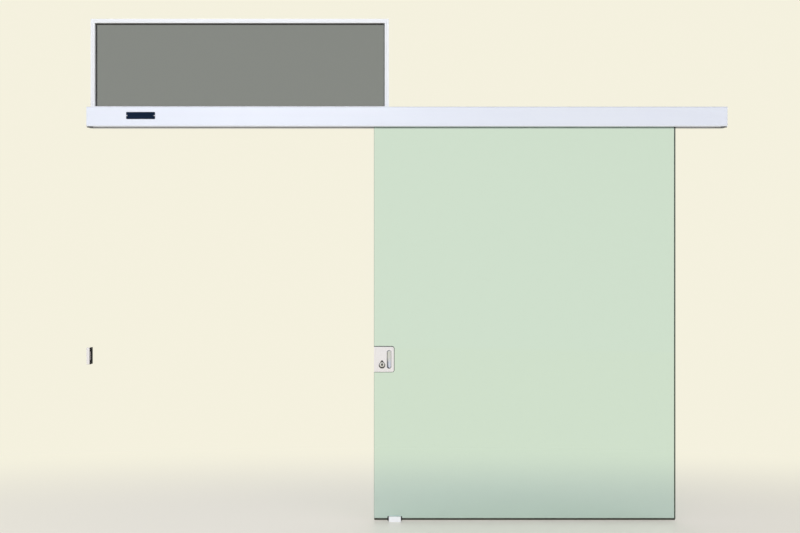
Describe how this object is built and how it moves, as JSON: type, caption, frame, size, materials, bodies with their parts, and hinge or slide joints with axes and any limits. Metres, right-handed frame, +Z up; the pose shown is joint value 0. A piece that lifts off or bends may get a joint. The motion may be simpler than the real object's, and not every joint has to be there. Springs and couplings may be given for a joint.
{
  "type": "sliding glass door",
  "caption": "Powered sliding door: frameless glass leaf hung from a slim header box, with belt drive, edge patch lock, floor guide and glazed transom.",
  "frame": {"origin": "on the finished floor, in the plane of the wall face that the header is fixed to, under the middle of the header's length", "axes": "+X to the right along the header seen from the room, +Y into the wall, +Z up; the leaf closes towards -X"},
  "size_m": [3.808, 0.16, 3.01],
  "materials": {
    "beam_paint": "satin powder coat",
    "header_silver": "silver anodised, satin",
    "track_silver": "plain extruded",
    "rail_steel": "hard anodised running strip",
    "frame_silver": "silver anodised, satin",
    "zinc_steel": "bright zinc plated",
    "lock_steel": "brushed stainless",
    "pull_steel": "brushed stainless, pressed",
    "key_chrome": "polished",
    "plug_dark": "worn, dark",
    "escutcheon_dark": "satin",
    "cast_alloy": "die cast, matt",
    "motor_black": "satin black",
    "unit_grey": "moulded, fine grain",
    "supply_silver": "satin",
    "nylon": "moulded nylon",
    "black_plastic": "moulded",
    "guide_plastic": "moulded",
    "black_rubber": "matt",
    "gasket_grey": "matt",
    "leaf_glass": "clear, toughened",
    "transom_glass": "clear"
  },
  "bodies": {
    "header": {"support_beam": "beam_paint", "beam_screws": "zinc_steel", "track_profile": "track_silver", "running_rail": "rail_steel", "header_end_left": "header_silver", "header_end_right": "header_silver", "end_screws": "zinc_steel", "cover_catches": "black_plastic", "drive_gearbox": "cast_alloy", "drive_motor": "motor_black", "idler_bracket": "zinc_steel", "toothed_belt": "black_rubber", "control_unit": "unit_grey", "power_supply": "supply_silver", "cable_grommet": "black_rubber", "rail_stops": "cast_alloy", "stop_buffers": "black_rubber", "transom_beads": "frame_silver", "transom_glass": "transom_glass", "transom_gaskets": "gasket_grey", "setting_blocks": "black_rubber", "guide_block": "guide_plastic", "guide_liners": "black_rubber", "strike_keeper": "lock_steel", "keeper_pad": "black_plastic", "transom_channel_top": "frame_silver", "transom_channel_right": "frame_silver", "transom_channel_bottom": "frame_silver", "transom_channel_left": "frame_silver"},
    "cover": {"header_cover": "header_silver"},
    "leaf": {"leaf_glass": "leaf_glass", "clamp_rail": "track_silver", "clamp_strip": "track_silver", "clamp_gaskets": "gasket_grey", "clamp_screws": "zinc_steel", "carriage_left": "zinc_steel", "carriage_right": "zinc_steel", "axle_studs": "zinc_steel", "hanger_bolts": "zinc_steel", "belt_clamp": "zinc_steel", "lock_case": "zinc_steel", "lock_front_plate": "lock_steel", "lock_back_plate": "lock_steel", "lock_gaskets": "gasket_grey", "finger_pulls": "pull_steel", "lock_escutcheon": "escutcheon_dark", "lock_cylinder": "key_chrome", "lock_screws": "zinc_steel"},
    "drive_wheel": {"drive_pulley": "cast_alloy"},
    "idler_wheel": {"idler_pulley": "cast_alloy"},
    "lock_turn": {"key_plug": "plug_dark", "thumb_turn": "lock_steel"},
    "lock_bar": {"drive_bar": "zinc_steel"},
    "lock_hook": {"hook_bolt": "lock_steel"},
    "wheel_left_left": {"wheel_left_left": "nylon"},
    "wheel_left_right": {"wheel_left_right": "nylon"},
    "counter_roller_left": {"counter_roller_left": "nylon"},
    "wheel_right_left": {"wheel_right_left": "nylon"},
    "wheel_right_right": {"wheel_right_right": "nylon"},
    "counter_roller_right": {"counter_roller_right": "nylon"}
  },
  "joints": [
    {"name": "leaf_slide", "type": "slide", "parent": "header", "child": "leaf", "axis": [-1, 0, 0], "range_m": [0, 1.685]},
    {"name": "cover_swing", "type": "hinge", "parent": "header", "child": "cover", "pos_m": [0, -0.062, 2.462], "axis": [-1, 0, 0], "range_deg": [0, 70]},
    {"name": "thumb_turn", "type": "hinge", "parent": "leaf", "child": "lock_turn", "pos_m": [-0.148, -0.075, 0.934], "axis": [0, -1, 0], "range_deg": [0, 90]},
    {"name": "lock_bar_slide", "type": "slide", "parent": "leaf", "child": "lock_bar", "axis": [0, 0, -1], "range_m": [0, 0.01698]},
    {"name": "lock_hook_swing", "type": "hinge", "parent": "leaf", "child": "lock_hook", "pos_m": [-0.174, -0.076, 1.001], "axis": [0, 1, 0], "range_deg": [0, 90]},
    {"name": "drive_wheel_spin", "type": "hinge", "parent": "header", "child": "drive_wheel", "pos_m": [1.425, -0.085, 2.433], "axis": [0, 1, 0], "continuous": true},
    {"name": "idler_wheel_spin", "type": "hinge", "parent": "header", "child": "idler_wheel", "pos_m": [-1.705, -0.085, 2.433], "axis": [0, 1, 0], "continuous": true},
    {"name": "wheel_left_left_spin", "type": "hinge", "parent": "leaf", "child": "wheel_left_left", "pos_m": [0.084, -0.052, 2.4298], "axis": [0, 1, 0], "continuous": true},
    {"name": "wheel_left_right_spin", "type": "hinge", "parent": "leaf", "child": "wheel_left_right", "pos_m": [0.184, -0.052, 2.4298], "axis": [0, 1, 0], "continuous": true},
    {"name": "counter_roller_left_spin", "type": "hinge", "parent": "leaf", "child": "counter_roller_left", "pos_m": [0.134, -0.052, 2.4417], "axis": [0, 1, 0], "continuous": true},
    {"name": "wheel_right_left_spin", "type": "hinge", "parent": "leaf", "child": "wheel_right_left", "pos_m": [1.219, -0.052, 2.4298], "axis": [0, 1, 0], "continuous": true},
    {"name": "wheel_right_right_spin", "type": "hinge", "parent": "leaf", "child": "wheel_right_right", "pos_m": [1.319, -0.052, 2.4298], "axis": [0, 1, 0], "continuous": true},
    {"name": "counter_roller_right_spin", "type": "hinge", "parent": "leaf", "child": "counter_roller_right", "pos_m": [1.269, -0.052, 2.4417], "axis": [0, 1, 0], "continuous": true}
  ],
  "couplings": [
    {"joint": "lock_bar_slide", "follows": "thumb_turn", "m_per_rad": 0.0108},
    {"joint": "lock_hook_swing", "follows": "thumb_turn", "ratio": 1},
    {"joint": "drive_wheel_spin", "follows": "leaf_slide", "rad_per_m": 52.36},
    {"joint": "idler_wheel_spin", "follows": "leaf_slide", "rad_per_m": 52.36},
    {"joint": "wheel_left_left_spin", "follows": "leaf_slide", "rad_per_m": -58.824},
    {"joint": "wheel_left_right_spin", "follows": "leaf_slide", "rad_per_m": -58.824},
    {"joint": "counter_roller_left_spin", "follows": "leaf_slide", "rad_per_m": 90.909},
    {"joint": "wheel_right_left_spin", "follows": "leaf_slide", "rad_per_m": -58.824},
    {"joint": "wheel_right_right_spin", "follows": "leaf_slide", "rad_per_m": -58.824},
    {"joint": "counter_roller_right_spin", "follows": "leaf_slide", "rad_per_m": 90.909}
  ]
}
